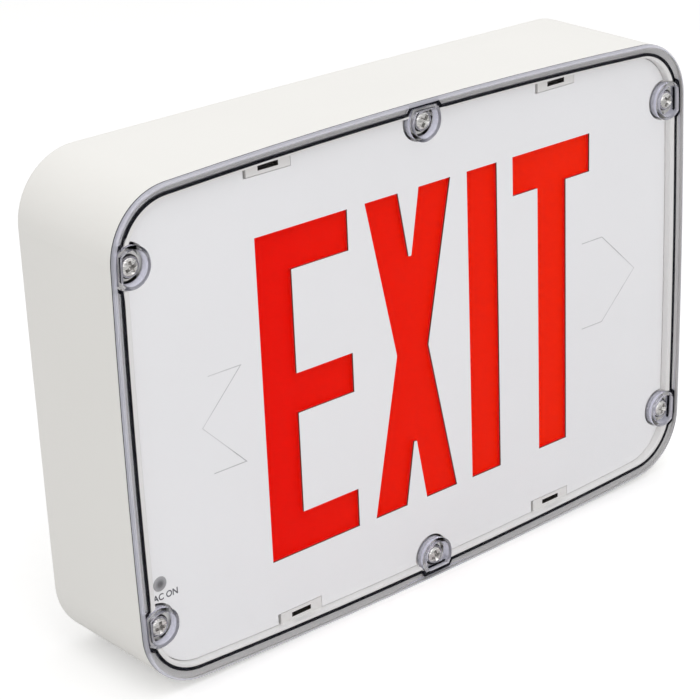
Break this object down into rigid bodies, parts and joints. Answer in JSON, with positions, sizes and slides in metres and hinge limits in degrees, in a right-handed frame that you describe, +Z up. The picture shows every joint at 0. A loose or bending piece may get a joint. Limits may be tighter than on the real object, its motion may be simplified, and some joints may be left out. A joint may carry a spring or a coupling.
{
  "type": "emergency exit light",
  "caption": "Wall-hung exit sign for wet places: deep white case, clear screwed cover, stencil plate with red letters, charger, battery and test button.",
  "frame": {"origin": "centre of the wire entry in the back, on the plane that meets the wall", "axes": "+Z up, +X to the right as seen from the front; the front faces -Y and the wall is the plane Y = 0"},
  "size_m": [0.3396, 0.0716, 0.2326],
  "materials": {
    "housing_white": "fine-grained moulded white, lightly glossy",
    "foam_black": "closed-cell foam, black",
    "seal_black": "black sealing bead under the clear cover",
    "cover_clear": "clear polished polycarbonate",
    "stainless": "bright stainless",
    "seal_rubber": "black sealing washer",
    "plate_white": "fine matt white",
    "window_grey": "frosted grey window",
    "lamp_clear": "clear epoxy lamp",
    "diffuser_red": "translucent red sheet, fine grain",
    "tray_white": "smooth reflecting white",
    "zinc_screw": "zinc plated",
    "board_white": "white solder mask",
    "diode_red": "moulded red diode",
    "board_green": "green solder mask",
    "core_steel": "laminated steel, varnished",
    "coil_copper": "copper winding under amber tape",
    "relay_case": "black case",
    "capacitor_sleeve": "dark blue sleeve, bare top",
    "terminal_green": "green moulded",
    "socket_cream": "cream nylon",
    "battery_wrap": "blue shrink wrap",
    "clip_steel": "zinc plated strip",
    "switch_black": "black moulded",
    "switch_nut": "nickel plated brass",
    "button_red": "red button"
  },
  "bodies": {
    "sign": {"housing": "housing_white", "wall_gasket": "foam_black", "cover_gasket": "seal_black", "lens_cover": "cover_clear", "cover_screws": "stainless", "screw_seals": "seal_rubber", "face_plate": "plate_white", "indicator_lens": "window_grey", "indicator_led": "lamp_clear", "red_diffuser": "diffuser_red", "reflector_tray": "tray_white", "tray_screws": "zinc_screw", "led_board_upper": "board_white", "led_board_lower": "board_white", "led_board_screws": "zinc_screw", "diodes": "diode_red", "control_board": "board_green", "control_board_screws": "zinc_screw", "transformer_core": "core_steel", "transformer_coil": "coil_copper", "relay": "relay_case", "filter_capacitor": "capacitor_sleeve", "terminal_block": "terminal_green", "battery_socket": "socket_cream", "battery_pack": "battery_wrap", "battery_clip": "clip_steel", "battery_clip_screws": "zinc_screw", "test_switch": "switch_black", "test_switch_nut": "switch_nut"},
    "test_button": {"test_button": "button_red"}
  },
  "joints": [
    {"name": "test_button_press", "type": "slide", "parent": "sign", "child": "test_button", "axis": [0, 0, 1], "range_m": [0, 0.0015], "stiffness_N_per_m": 400, "springref_m": -0.001}
  ]
}
